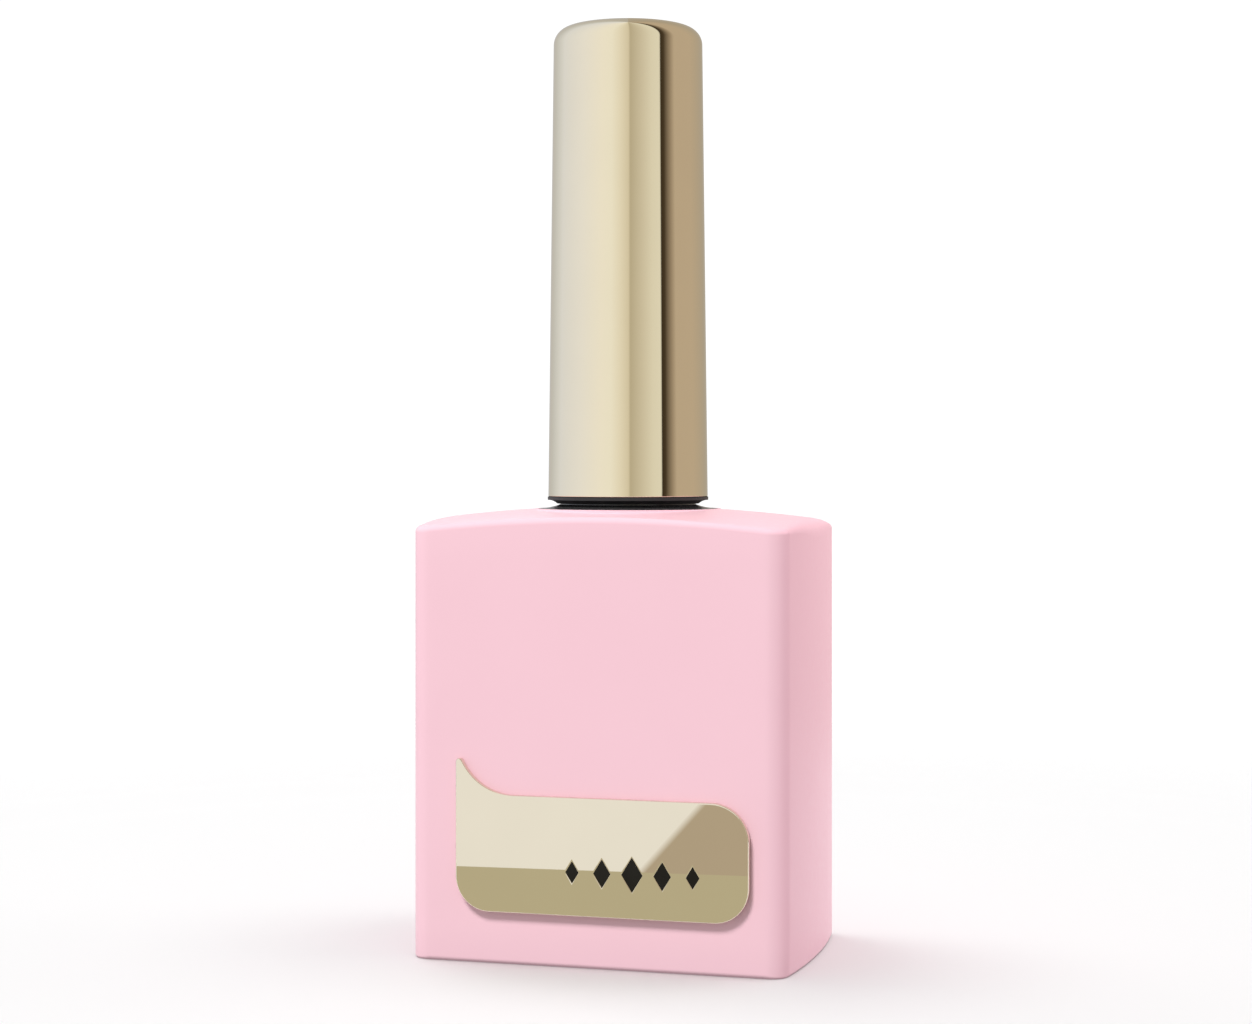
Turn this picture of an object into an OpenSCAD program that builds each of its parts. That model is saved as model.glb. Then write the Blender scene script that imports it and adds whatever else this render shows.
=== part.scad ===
// Nail polish bottle: lacquered glass bottle, two-part screw cap and brush.
// Millimetres, +Z up. The origin is on the bottle's axis, on the surface that it stands on,
// and the badge is on the front, towards -Y.

/* [Bottle body] */
// Width across the ends
body_w = 37.9; // [37:0.1:39]
// Depth from the front face to the back face
body_d = 23.5; // [22.5:0.1:25]
// Height of the shoulder's crown, at the bottle's axis
crown_z = 43.05; // [42.9:0.05:43.1]
// Radius of the four upright corners
corner_r = 2.0; // [1.6:0.1:3]
// Bow of the two ends, seen from above
end_bow = 0.6; // [0.2:0.1:1]
// Radius of the shoulder's arch, seen from the front
arch_front_r = 150; // [120:5:300]
// Radius of the shoulder's arch, seen from the side
arch_side_r = 75; // [60:1:100]
// Rounding where the shoulder meets the two ends
shoulder_end_r = 2.0; // [1:0.1:3]
// Rounding where the shoulder meets the front and the back
shoulder_face_r = 0.9; // [0.5:0.1:2]
// Rounding around the base
base_edge_r = 0.45; // [0.4:0.05:1]
// Radius of the flat seat around the neck
seat_r = 9.1; // [8.9:0.1:9.6]
// Drop from the shoulder's crown to that seat
seat_drop = 0.25; // [0.2:0.05:0.3]
// Thickness of the pink lacquer
coat_t = 0.2; // [0.15:0.05:0.3]

/* [Glass] */
// Thickness of the glass walls
wall_t = 2.8; // [2.2:0.1:3.4]
// Thickness of the glass base
base_t = 4.2; // [3:0.1:6]
// Depth of the hollow under the base
push_up_h = 0.7; // [0.4:0.1:1.2]
// Width of the ring that the bottle stands on
bearing_w = 3.2; // [2.5:0.1:5]
// Level of the polish in the bottle
fill_z = 32.0; // [20:0.5:34]

/* [Neck] */
// Radius of the flared foot where the neck leaves the shoulder
foot_r = 8.75; // [8.2:0.05:8.8]
// Radius of the neck's bead, below the thread
bead_r = 6.62; // [6.5:0.02:6.7]
// Height of the neck's rim
neck_top_z = 53.6; // [53:0.1:55]
// Radius of the neck between the threads
neck_r = 5.7; // [5.5:0.05:5.8]
// Radius of the neck's thread crest
neck_crest_r = 6.33; // [6.2:0.01:6.36]
// Radius of the neck's bore
bore_r = 4.2; // [4:0.1:4.4]
// Rise of the thread in one turn
thread_pitch = 2.12; // [2:0.01:2.5]
// Number of turns of the thread
thread_turns = 1.75; // [1:0.25:2]

/* [Cap] */
// Height of the gold cap's lower edge
cap_bottom_z = 43.96; // [43.9:0.02:44.3]
// Height of the top of the gold cap, at its middle
cap_top_z = 89.9; // [84:0.1:96]
// Radius of the gold cap at its lower edge
cap_bottom_r = 7.8; // [7.7:0.05:8.2]
// Radius of the gold cap at its upper edge
cap_top_r = 7.28; // [7.1:0.02:7.6]
// Wall of the gold cap
cap_wall = 0.6; // [0.5:0.05:0.65]
// Height of the gold cap's shallow crown
cap_crown_h = 0.1; // [0.05:0.05:0.6]
// Rounding around the gold cap's upper edge
cap_edge_r = 1.7; // [0.4:0.1:2]
// Radius of the black lip that shows under the gold cap
lip_r = 7.86; // [7.8:0.01:8.2]
// Radius of the inner cap's thread crest
cap_crest_r = 6.43; // [6.4:0.01:6.5]
// Number of fins on the inner cap's core
fins = 6; // [4:1:8]

/* [Brush] */
// Radius of the stem
stem_r = 1.6; // [1.55:0.05:1.8]
// Height of the lower end of the stem
stem_end_z = 21.0; // [18:0.5:24]
// Height of the tips of the bristles
brush_tip_z = 5.6; // [5:0.1:8]
// Width of the flat brush at its root
brush_w = 3.0; // [2.4:0.1:3.2]
// Width of the flat brush near its tips
brush_tip_w = 4.2; // [3:0.1:4.4]
// Thickness of the flat brush
brush_t = 1.5; // [1:0.1:2]

/* [Badge] */
// Left edge of the badge
badge_left = -13.4; // [-14:0.1:-12]
// Right edge of the badge
badge_right = 15.0; // [13:0.1:15]
// Lower edge of the badge
badge_low = 5.0; // [4:0.1:6]
// Upper edge of the badge
badge_high = 16.05; // [14:0.05:17]
// Reach of the hollow curve between the badge's tail and its upper edge
tail_w = 5.7; // [5.2:0.1:6]
// Radius of that curve
tail_r = 5.7; // [5.6:0.1:7]
// Thickness of the badge
badge_t = 0.75; // [0.5:0.05:0.8]
// Thickness of the adhesive behind the badge
tape_t = 0.1; // [0.05:0.05:0.2]
// Depth of the dark inlay
inlay_t = 0.25; // [0.15:0.05:0.35]

/* [Hidden] */
$fn = 96;

// A cutter reaches this far past the solid that it cuts.
past = 1;

// Badge
badge_low_r = 3.3;
badge_high_r = 3.6;
tail_tip_r = 0.32;
tape_inset = 0.2;
mark_mid_x = 3.9;
mark_mid_z = 9.1;
mark_spacing = 2.9;
mark_half_h = 1.6;
mark_step = 0.3;
mark_aspect = 0.62;

// Body. The glass is rounder than the lacquer along its edges by glass_round.
glass_round = 0.6;
shoulder_t = 4.4;
cavity_top_z = crown_z - shoulder_t;
cavity_arch_r = 60;
cavity_top_r = 3;
cavity_low_r = 2;
well_r = 2.45;
well_gap = 0.3;
paper_t = 0.1;
paper_margin = 0.8;

// Neck
seat_z = crown_z - seat_drop;
foot_z = seat_z + 0.02;
foot_rise = 0.4;
bead_low_z = foot_z + foot_rise;
bead_high_z = crown_z + 1.9;
thread_low_z = bead_high_z + 1.6;
neck_bury = 2.8;
neck_rim_r = 0.6;
thread_base_h = 1.25;
thread_crest_h = 0.55;
thread_fade = 30;
thread_bury = 0.2;
thread_steps = 36;

// Wiper insert
wiper_flange_h = 0.8;
wiper_flange_r = 5.3;
wiper_top_z = neck_top_z + wiper_flange_h;
wiper_r = bore_r - 0.08;
wiper_rib_r = bore_r + 0.03;
wiper_low_z = neck_top_z - 9;
wiper_wall = 0.7;
orifice_r = 2.45;
lead_h = 0.8;
taper_h = 2.2;
rib_h = 0.6;
rib_drop = 2.4;

// Seal liner
liner_gap = 0.04;
liner_low_z = wiper_top_z + liner_gap;
liner_h = 0.9;
liner_r = 5.6;
liner_bore_r = 2.3;

// Inner cap
inner_cap_r = 7.05;
lip_top_z = cap_bottom_z;
lip_h = 0.3;
lip_low_z = lip_top_z - lip_h;
skirt_low_z = bead_low_z + 0.08;
skirt_bore_r = bead_r + 0.1;
ceiling_z = liner_low_z + liner_h + liner_gap;
ceiling_t = 1.4;
core_r = 3.4;
core_bore_r = 2.4;
grip_z = lip_top_z + 1;
grip_h = 0.8;
grip_depth = 0.1;
fin_t = 0.9;

// Gold cap
cap_side_z = cap_top_z - cap_crown_h - cap_edge_r;
cap_top_t = 3;
cap_inner_top_z = cap_top_z - cap_top_t;
cap_bore_r = inner_cap_r + 0.07;
cap_bore_h = 4;
core_top_z = cap_inner_top_z - 2.9;

// Stem
stem_head_r = 2.35;
stem_head_h = 9;
stem_top_z = ceiling_z + stem_head_h;
barb_r = 2.43;
barb_h = 1.2;
barb_z = 2;
barb_spacing = 2.5;
socket_depth = 5;
socket_r = 1.15;
staple_w = 2.7;
staple_t = 0.35;
staple_h = 1.4;
staple_drop = 0.9;

// Bristles
root_r = socket_r - 0.03;
root_h = 3.3;
root_reach = 0.5;
root_half = 1.05;
spread_h = 3;
tip_curve_h = 2.4;
tip_taper_h = 4;

// Radius of an arc that rises by one distance over another and starts level
function flare(run, rise) = (run * run + rise * rise) / (2 * rise);

// Radius of the gold cap's outside at a height
function cap_r(z) = cap_bottom_r
    + (cap_top_r - cap_bottom_r) * (z - cap_bottom_z) / (cap_side_z - cap_bottom_z);

// Points of an arc about (x, y) from angle a to angle b
function arc(x, y, r, a, b, n = 12) =
    [for (i = [0 : n]) let (t = a + (b - a) * i / n) [x + r * cos(t), y + r * sin(t)]];

// ---- Shapes shared by the glass and the lacquer ----

// Outline under an arch of radius r: width w, crown at height top, rounded upper and lower corners
module arched_outline(w, top, r, top_r, low_r, low) {
    half = w / 2;
    mid = top - r;
    corner_x = half - top_r;
    corner_z = mid + sqrt(pow(r - top_r, 2) - pow(corner_x, 2));
    reach = 2 * r / (r - top_r);
    intersection() {
        translate([0, mid])
            circle(r = r, $fn = 360);
        polygon([[0, mid], [reach * corner_x, mid + reach * (corner_z - mid)],
                 [-reach * corner_x, mid + reach * (corner_z - mid)]]);
        translate([-w, low + low_r])
            square([2 * w, top]);
    }
    for (side = [-1, 1]) {
        translate([side * corner_x, corner_z])
            circle(r = top_r);
        translate([side * (half - low_r), low + low_r])
            circle(r = low_r);
    }
    translate([-half, low + low_r])
        square([w, corner_z - low - low_r]);
    translate([low_r - half, low])
        square([w - 2 * low_r, corner_z - low]);
}

// Plan with round corners and bowed ends
module body_plan(w, d, r) {
    reach = d / 2 - r;
    bow_r = flare(reach, end_bow);
    turn = asin(reach / bow_r);
    bow_x = w / 2 - r - bow_r;
    corner_x = bow_x + bow_r * cos(turn);
    polygon(concat(
        arc(corner_x, -reach, r, -90, -turn),
        arc(bow_x, 0, bow_r + r, -turn, turn),
        arc(corner_x, reach, r, turn, 90),
        arc(-corner_x, reach, r, 90, 180 - turn),
        arc(-bow_x, 0, bow_r + r, 180 - turn, 180 + turn),
        arc(-corner_x, -reach, r, 180 + turn, 270)));
}

// Body drawn in by a distance at the sides and the top, its edges rounder by another distance
module body_block(inset, extra_r) {
    w = body_w - 2 * inset;
    d = body_d - 2 * inset;
    top = crown_z - inset;
    end_r = shoulder_end_r - inset + extra_r;
    face_r = shoulder_face_r - inset + extra_r;
    low_r = base_edge_r + extra_r;
    intersection() {
        dome(inset);
        translate([0, 0, -past])
            linear_extrude(top + 2 * past)
                body_plan(w, d, corner_r - inset);
        rotate([90, 0, 0])
            linear_extrude(2 * body_d, center = true)
                arched_outline(w, top, arch_front_r - inset, end_r, low_r, 0);
        rotate([90, 0, 90])
            linear_extrude(2 * body_w, center = true)
                arched_outline(d, top, arch_side_r - inset, face_r, low_r, 0);
    }
}

// Disc about an axis along Y, whose rim is the shoulder's double arch
module dome(inset) {
    rim_r = arch_side_r - inset;
    hub_r = arch_front_r - arch_side_r;
    translate([0, 0, crown_z - arch_front_r])
        rotate([90, 0, 0])
            rotate_extrude($fn = 720)
                intersection() {
                    union() {
                        translate([hub_r, 0])
                            circle(r = rim_r, $fn = 720);
                        translate([0, -body_d])
                            square([hub_r, 2 * body_d]);
                    }
                    translate([0, -body_d])
                        square([2 * arch_front_r, 2 * body_d]);
                }
}

// Flat round seat around the neck, drawn in by a distance
module seat(inset) {
    translate([0, 0, seat_z - 2])
        cylinder(r = seat_r - inset, h = 2 - inset);
}

// ---- Thread ----

// Rings of a trapezium that climbs as a helix and fades out at both ends.
// side is 1 on the outside of a neck and -1 on the inside of a cap.
module thread(root_r, crest_r, low_z, side) {
    turn = 360 * thread_turns;
    steps = thread_steps * thread_turns;
    buried_r = root_r - side * thread_bury;
    function fade(a) = min(1, a / thread_fade, (turn - a) / thread_fade);
    function ring(a) = let (
        z = low_z + thread_pitch * a / 360,
        tip_r = root_r - side * 0.05 + (crest_r - root_r + side * 0.05) * fade(a)
    ) [
        [buried_r, z - thread_base_h / 2],
        [tip_r, z - thread_crest_h / 2],
        [tip_r, z + thread_crest_h / 2],
        [buried_r, z + thread_base_h / 2],
    ];
    points = [for (i = [0 : steps]) let (a = turn * i / steps)
        for (p = ring(a)) [p[0] * cos(a), p[0] * sin(a), p[1]]];
    last = 4 * steps;
    sides = [for (i = [0 : steps - 1], k = [0 : 3]) let (
            a = 4 * i + k, b = 4 * i + (k + 1) % 4)
        each [[a, b, b + 4], [a, b + 4, a + 4]]];
    ends = [[0, 2, 1], [0, 3, 2], [last, last + 1, last + 2], [last, last + 2, last + 3]];
    faces = concat(sides, ends);
    polyhedron(points, side > 0 ? faces : [for (f = faces) [f[2], f[1], f[0]]]);
}

// ---- Bottle ----

module glass_bottle() {
    color([0.08, 0.08, 0.09])
    difference() {
        union() {
            body_block(coat_t, glass_round);
            seat(coat_t);
            neck_blank();
            thread(neck_r, neck_crest_r, thread_low_z, 1);
        }
        cavity(0);
        translate([0, 0, cavity_top_z - past])
            cylinder(r = bore_r, h = neck_top_z);
        translate([0, 0, -past])
            linear_extrude(push_up_h + past)
                body_plan(body_w - 2 * bearing_w, body_d - 2 * bearing_w, corner_r);
    }
}

// Neck without its thread: flared foot, waist, bead, wall and rounded rim
module neck_blank() {
    flare_r = flare(foot_r - bead_r, foot_rise);
    rotate_extrude()
        difference() {
            union() {
                difference() {
                    square([foot_r, bead_low_z]);
                    translate([foot_r, foot_z + flare_r])
                        circle(r = flare_r);
                }
                square([bead_r, bead_high_z]);
                square([neck_r, neck_top_z - neck_rim_r]);
                square([neck_r - neck_rim_r, neck_top_z]);
                translate([neck_r - neck_rim_r, neck_top_z - neck_rim_r])
                    circle(r = neck_rim_r);
            }
            square([bore_r / 2, 2 * neck_top_z]);
            square([foot_r + past, foot_z - neck_bury]);
        }
}

// Space inside the glass, drawn in by a clearance
module cavity(inset) {
    inner = coat_t + wall_t + inset;
    intersection() {
        translate([0, 0, base_t + inset])
            linear_extrude(cavity_top_z - base_t - 2 * inset)
                body_plan(body_w - 2 * inner, body_d - 2 * inner, corner_r);
        rotate([90, 0, 0])
            linear_extrude(2 * body_d, center = true)
                arched_outline(body_w - 2 * inner, cavity_top_z - inset, cavity_arch_r,
                    cavity_top_r, cavity_low_r, base_t + inset);
    }
}

module lacquer_coat() {
    color([0.96, 0.80, 0.84])
    difference() {
        union() {
            body_block(0, 0);
            seat(0);
        }
        body_block(coat_t, glass_round);
        seat(coat_t);
        translate([0, 0, seat_z - neck_bury])
            cylinder(r = foot_r, h = neck_bury + past);
    }
}

module wiper_insert() {
    color([0.93, 0.93, 0.92])
    rotate_extrude()
        difference() {
            union() {
                translate([0, wiper_low_z])
                    square([wiper_r, wiper_top_z - wiper_low_z]);
                translate([0, neck_top_z])
                    square([wiper_flange_r, wiper_flange_h]);
                for (i = [1, 2])
                    translate([0, neck_top_z - i * rib_drop])
                        square([wiper_rib_r, rib_h]);
            }
            translate([0, wiper_low_z - past])
                square([orifice_r, 2 * neck_top_z]);
            polygon([
                [0, wiper_low_z + lead_h], [orifice_r, wiper_low_z + lead_h],
                [wiper_r - wiper_wall, wiper_low_z + lead_h + taper_h],
                [wiper_r - wiper_wall, wiper_top_z + past], [0, wiper_top_z + past]]);
        }
}

// Polish up to its level, with a round well where the brush dips
module polish_fill() {
    color([0.94, 0.62, 0.70])
    difference() {
        intersection() {
            cavity(0.02);
            translate([0, 0, fill_z / 2])
                cube([2 * body_w, 2 * body_d, fill_z], center = true);
        }
        translate([0, 0, brush_tip_z - well_gap])
            cylinder(r = well_r, h = fill_z);
    }
}

module base_label() {
    margin = bearing_w + paper_margin;
    color([0.95, 0.95, 0.94])
    translate([0, 0, push_up_h - paper_t])
        linear_extrude(paper_t)
            body_plan(body_w - 2 * margin, body_d - 2 * margin, corner_r);
}

// ---- Badge ----

// Outline of the badge as seen from the front: a plate with round corners and a curved tail
// at its upper left, drawn in by a margin
module badge_outline(inset) {
    left = badge_left + inset;
    right = badge_right - inset;
    low = badge_low + inset;
    high = badge_high - inset;
    low_r = badge_low_r - inset;
    high_r = badge_high_r - inset;
    curve_r = tail_r + inset;
    tip_r = tail_tip_r - inset;
    curve_x = badge_left + tail_w;
    curve_z = badge_high + tail_r;
    tip_x = left + tip_r;
    tip_a = acos((curve_x - tip_x) / (curve_r + tip_r));
    tip_z = curve_z - (curve_r + tip_r) * sin(tip_a);
    polygon(concat(
        arc(left + low_r, low + low_r, low_r, 180, 270),
        arc(right - low_r, low + low_r, low_r, 270, 360),
        arc(right - high_r, high - high_r, high_r, 0, 90),
        arc(curve_x, curve_z, curve_r, 270, 180 + tip_a),
        arc(tip_x, tip_z, tip_r, tip_a, 180)));
}

// Shape drawn on the front face, from one depth to another
module on_front(from, thick) {
    translate([0, -body_d / 2 - from, 0])
        rotate([90, 0, 0])
            linear_extrude(thick)
                children();
}

module badge_tape() {
    color([0.85, 0.85, 0.85])
    on_front(0, tape_t)
        badge_outline(tape_inset);
}

module badge_plate() {
    color([0.80, 0.74, 0.58])
    difference() {
        on_front(tape_t, badge_t)
            badge_outline(0);
        on_front(tape_t + badge_t - inlay_t, inlay_t + past)
            inlay_row();
    }
}

// Row of lozenges, largest in the middle
module inlay_row() {
    for (i = [-2 : 2]) {
        half_h = mark_half_h - mark_step * abs(i);
        half_w = mark_aspect * half_h;
        translate([mark_mid_x + i * mark_spacing, mark_mid_z])
            polygon([[-half_w, 0], [0, -half_h], [half_w, 0], [0, half_h]]);
    }
}

module badge_inlay() {
    color([0.10, 0.10, 0.09])
    on_front(tape_t + badge_t - inlay_t, inlay_t)
        inlay_row();
}

// ---- Cap ----

module seal_liner() {
    color([0.90, 0.90, 0.88])
    translate([0, 0, liner_low_z])
        difference() {
            cylinder(r = liner_r, h = liner_h);
            translate([0, 0, -past])
                cylinder(r = liner_bore_r, h = liner_h + 2 * past);
        }
}

// Threaded skirt with the lip below the gold cap, ceiling, and core with fins
module inner_cap() {
    thread_root_r = skirt_bore_r + 0.02;
    waist_r = skirt_bore_r + 0.22;
    lip_flare_r = flare(lip_r - waist_r, lip_low_z - skirt_low_z);
    color([0.09, 0.09, 0.10])
    union() {
        rotate_extrude()
            difference() {
                union() {
                    translate([0, skirt_low_z])
                        square([lip_r, lip_top_z - skirt_low_z]);
                    translate([0, lip_top_z])
                        square([inner_cap_r, ceiling_z + ceiling_t - lip_top_z]);
                    translate([0, grip_z])
                        square([inner_cap_r + grip_depth, grip_h]);
                    square([core_r, core_top_z]);
                }
                translate([lip_r, lip_low_z - lip_flare_r])
                    circle(r = lip_flare_r);
                square([skirt_bore_r, ceiling_z]);
                translate([0, ceiling_z])
                    square([core_bore_r, core_top_z]);
                translate([0, -past])
                    square([inner_cap_r + past, skirt_low_z + past]);
            }
        rotate([0, 0, 180 / thread_steps])
            thread(thread_root_r, cap_crest_r, thread_low_z + thread_pitch / 2, -1);
        for (i = [0 : fins - 1])
            rotate([0, 0, 360 * i / fins])
                fin();
    }
}

// Tapered fin that centres the gold cap
module fin() {
    low_z = ceiling_z + ceiling_t - 0.2;
    top_z = core_top_z - 0.6;
    gap = cap_wall + 0.08;
    inner = core_r - 0.5;
    rotate([90, 0, 0])
        linear_extrude(fin_t, center = true)
            polygon([
                [inner, low_z], [inner_cap_r - 0.3, low_z],
                [cap_r(low_z + 3) - gap, low_z + 3], [cap_r(top_z - 1) - gap, top_z - 1],
                [cap_r(top_z) - gap - 0.8, top_z], [inner, top_z]]);
}

// Tapered shell with a shallow crown
module overcap() {
    edge_x = cap_top_r - cap_edge_r;
    dome_r = flare(edge_x, cap_crown_h);
    taper_z = cap_bottom_z + cap_bore_h + 1;
    color([0.84, 0.77, 0.60])
    rotate_extrude()
        difference() {
            union() {
                polygon([
                    [0, cap_bottom_z], [cap_bottom_r, cap_bottom_z],
                    [cap_top_r, cap_side_z], [0, cap_side_z]]);
                translate([edge_x, cap_side_z])
                    intersection() {
                        circle(r = cap_edge_r);
                        square(2 * cap_edge_r);
                    }
                translate([0, cap_side_z - past])
                    square([edge_x, past + cap_edge_r]);
                intersection() {
                    translate([0, cap_top_z - dome_r])
                        circle(r = dome_r, $fn = 360);
                    translate([0, cap_side_z])
                        square([edge_x, cap_edge_r + cap_crown_h + past]);
                }
            }
            polygon([
                [0, cap_bottom_z - past], [cap_bore_r, cap_bottom_z - past],
                [cap_bore_r, cap_bottom_z + cap_bore_h],
                [cap_r(taper_z) - cap_wall, taper_z],
                [cap_r(cap_inner_top_z) - cap_wall, cap_inner_top_z], [0, cap_inner_top_z]]);
        }
}

// ---- Brush ----

// Stem with a barbed head that is pressed up into the inner cap
module brush_stem() {
    color([0.12, 0.12, 0.13])
    difference() {
        rotate_extrude()
            difference() {
                union() {
                    translate([0, stem_end_z])
                        square([stem_r, ceiling_z - stem_end_z]);
                    translate([0, ceiling_z - liner_h])
                        square([liner_bore_r - 0.1, liner_h]);
                    translate([0, ceiling_z])
                        square([stem_head_r, stem_top_z - ceiling_z]);
                    for (i = [0, 1])
                        translate([0, ceiling_z + barb_z + i * barb_spacing])
                            polygon([[0, 0], [barb_r, 0], [stem_head_r, barb_h], [0, barb_h]]);
                }
                square([socket_r, stem_end_z + socket_depth]);
            }
        staple_block();
    }
}

// The staple's place, whose ends are let into the wall of the socket
module staple_block() {
    translate([0, 0, stem_end_z + socket_depth - staple_drop])
        cube([staple_w, staple_t, staple_h], center = true);
}

// Flat wire staple that pins the folded bristles in the stem's socket
module bristle_staple() {
    color([0.78, 0.78, 0.76])
    staple_block();
}

// Flat brush, a closed solid that stands for the tuft
module brush_bristles() {
    color([0.20, 0.17, 0.15])
    union() {
        translate([0, 0, stem_end_z - root_reach])
            cylinder(r = root_r, h = root_h + root_reach);
        intersection() {
            rotate([90, 0, 0])
                linear_extrude(brush_t, center = true)
                    polygon(concat(
                        [[-root_half, stem_end_z], [-brush_w / 2, stem_end_z - spread_h],
                         [-brush_tip_w / 2, brush_tip_z + tip_taper_h]],
                        [for (t = [180 : 15 : 360]) [
                            brush_tip_w / 2 * cos(t),
                            brush_tip_z + tip_curve_h * (1 + sin(t))]],
                        [[brush_tip_w / 2, brush_tip_z + tip_taper_h],
                         [brush_w / 2, stem_end_z - spread_h], [root_half, stem_end_z]]));
            cylinder(r = brush_tip_w / 2 + 0.05, h = 2 * stem_end_z);
        }
    }
}

glass_bottle();
lacquer_coat();
wiper_insert();
polish_fill();
base_label();
badge_tape();
badge_plate();
badge_inlay();
seal_liner();
inner_cap();
overcap();
brush_stem();
bristle_staple();
brush_bristles();
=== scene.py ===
import math
import random

import bmesh
import bpy
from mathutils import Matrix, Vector


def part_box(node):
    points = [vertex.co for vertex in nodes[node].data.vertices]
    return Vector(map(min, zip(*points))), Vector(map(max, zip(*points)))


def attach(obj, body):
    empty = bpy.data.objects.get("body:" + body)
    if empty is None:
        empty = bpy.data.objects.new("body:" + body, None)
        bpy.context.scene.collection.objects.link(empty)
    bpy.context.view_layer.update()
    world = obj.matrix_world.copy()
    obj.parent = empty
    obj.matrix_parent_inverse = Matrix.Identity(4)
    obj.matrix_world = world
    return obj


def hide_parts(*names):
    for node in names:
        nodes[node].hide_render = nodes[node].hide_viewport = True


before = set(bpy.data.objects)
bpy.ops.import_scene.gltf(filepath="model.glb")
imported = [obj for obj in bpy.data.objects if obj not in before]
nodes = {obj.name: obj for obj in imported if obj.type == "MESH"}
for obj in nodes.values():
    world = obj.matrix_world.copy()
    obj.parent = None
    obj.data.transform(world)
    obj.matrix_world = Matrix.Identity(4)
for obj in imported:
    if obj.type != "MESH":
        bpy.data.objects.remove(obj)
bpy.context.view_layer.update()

MM = 0.001

# ---- Boxes of the CAD nodes ----

coat_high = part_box("lacquer_coat")[1]
plate_low, plate_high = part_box("badge_plate")
shell_low, shell_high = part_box("overcap")
tuft_low, tuft_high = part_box("brush_bristles")


# ---- Small tools ----

SHARP_ANGLE = 35


def add_object(name, data):
    obj = bpy.data.objects.new(name, data)
    bpy.context.scene.collection.objects.link(obj)
    return obj


def mesh_from(name, bm):
    mesh = bpy.data.meshes.new(name)
    bm.to_mesh(mesh)
    bm.free()
    return mesh


def smooth(obj, angle=SHARP_ANGLE):
    """Smooth faces, with sharp edges where they meet at more than an angle, in degrees."""
    for face in obj.data.polygons:
        face.use_smooth = True
    obj.data.set_sharp_from_angle(angle=math.radians(angle))


def smooth_object(name, mesh, angle=SHARP_ANGLE):
    obj = add_object(name, mesh)
    smooth(obj, angle)
    return obj


def circle(count):
    """Angles evenly round a circle, in radians."""
    return [math.tau * i / count for i in range(count)]


def arc(x, y, r, start, stop, steps=12):
    """Points of an arc, angles in degrees."""
    angles = [math.radians(start + (stop - start) * i / steps) for i in range(steps + 1)]
    return [(x + r * math.cos(t), y + r * math.sin(t)) for t in angles]


def lathe(name, profile, segments):
    """Turns a profile of (radius, height) points about Z. A radius of 0 is a pole."""
    bm = bmesh.new()
    rings = []
    for r, z in profile:
        if r == 0:
            rings.append([bm.verts.new((0, 0, z))])
        else:
            rings.append([bm.verts.new((r * math.cos(t), r * math.sin(t), z))
                          for t in circle(segments)])
    for low, high in zip(rings, rings[1:]):
        for i in range(segments):
            j = (i + 1) % segments
            if len(low) == 1:
                bm.faces.new((low[0], high[j], high[i]))
            elif len(high) == 1:
                bm.faces.new((low[i], low[j], high[0]))
            else:
                bm.faces.new((low[i], low[j], high[j], high[i]))
    bmesh.ops.recalc_face_normals(bm, faces=bm.faces)
    return smooth_object(name, mesh_from(name, bm))


class Graph:
    """A node tree with short helpers for adding to it."""

    def __init__(self, tree):
        self.tree = tree

    def put(self, socket, value):
        """Links an output to a socket, or sets the socket's own value."""
        if isinstance(value, bpy.types.NodeSocket):
            self.tree.links.new(value, socket)
        else:
            socket.default_value = value

    def node(self, kind, **inputs):
        made = self.tree.nodes.new(kind)
        for key, value in inputs.items():
            self.put(made.inputs[key.replace("_", " ")], value)
        return made

    def math(self, operation, *values):
        made = self.tree.nodes.new("ShaderNodeMath")
        made.operation = operation
        for socket, value in zip(made.inputs, values):
            self.put(socket, value)
        return made.outputs[0]

    def map_range(self, value, from_min, from_max, to_min, to_max):
        return self.node(
            "ShaderNodeMapRange", Value=value, From_Min=from_min, From_Max=from_max,
            To_Min=to_min, To_Max=to_max,
        ).outputs[0]

    def mix_color(self, amount, first, second):
        made = self.tree.nodes.new("ShaderNodeMix")
        made.data_type = "RGBA"
        for index, value in ((0, amount), (6, first), (7, second)):
            self.put(made.inputs[index], value)
        return made.outputs[2]

    def mix_shader(self, amount, first, second):
        made = self.tree.nodes.new("ShaderNodeMixShader")
        for socket, value in zip(made.inputs, (amount, first, second)):
            self.put(socket, value)
        return made.outputs[0]

    def attribute(self, name):
        made = self.tree.nodes.new("ShaderNodeAttribute")
        made.attribute_name = name
        return made.outputs["Fac"]


# ---- Camera ----

CAMERA_TURN = math.radians(15.8)
CAMERA_FAR = 237 * MM
CAMERA_HEIGHT = 47.54 * MM
CAMERA_SIDE = 0.20 * MM
CLIP_START = 10 * MM
FRAME_W = 1252
FRAME_H = 1024
FOCAL_PX = 2419
HORIZON_ROW = 460
SENSOR = 36


def make_camera():
    """A level camera in front and to the right, shifted to the photo's horizon."""
    data = bpy.data.cameras.new("camera")
    data.sensor_width = SENSOR
    data.lens = SENSOR * FOCAL_PX / FRAME_W
    data.shift_y = (HORIZON_ROW - FRAME_H / 2) / FRAME_W
    data.clip_start = CLIP_START
    cam = add_object("camera", data)
    to_camera = Vector((math.sin(CAMERA_TURN), -math.cos(CAMERA_TURN), 0))
    right = Vector((math.cos(CAMERA_TURN), math.sin(CAMERA_TURN), 0))
    cam.location = to_camera * CAMERA_FAR - right * CAMERA_SIDE
    cam.location.z = CAMERA_HEIGHT
    cam.rotation_euler = (math.radians(90), 0, CAMERA_TURN)
    bpy.context.scene.camera = cam
    return cam


camera = make_camera()


# ---- Materials ----

# The middle of a noise's values
NOISE_LOW = 0.3
NOISE_HIGH = 0.7
GOLD_SHADE = 0.985


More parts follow.
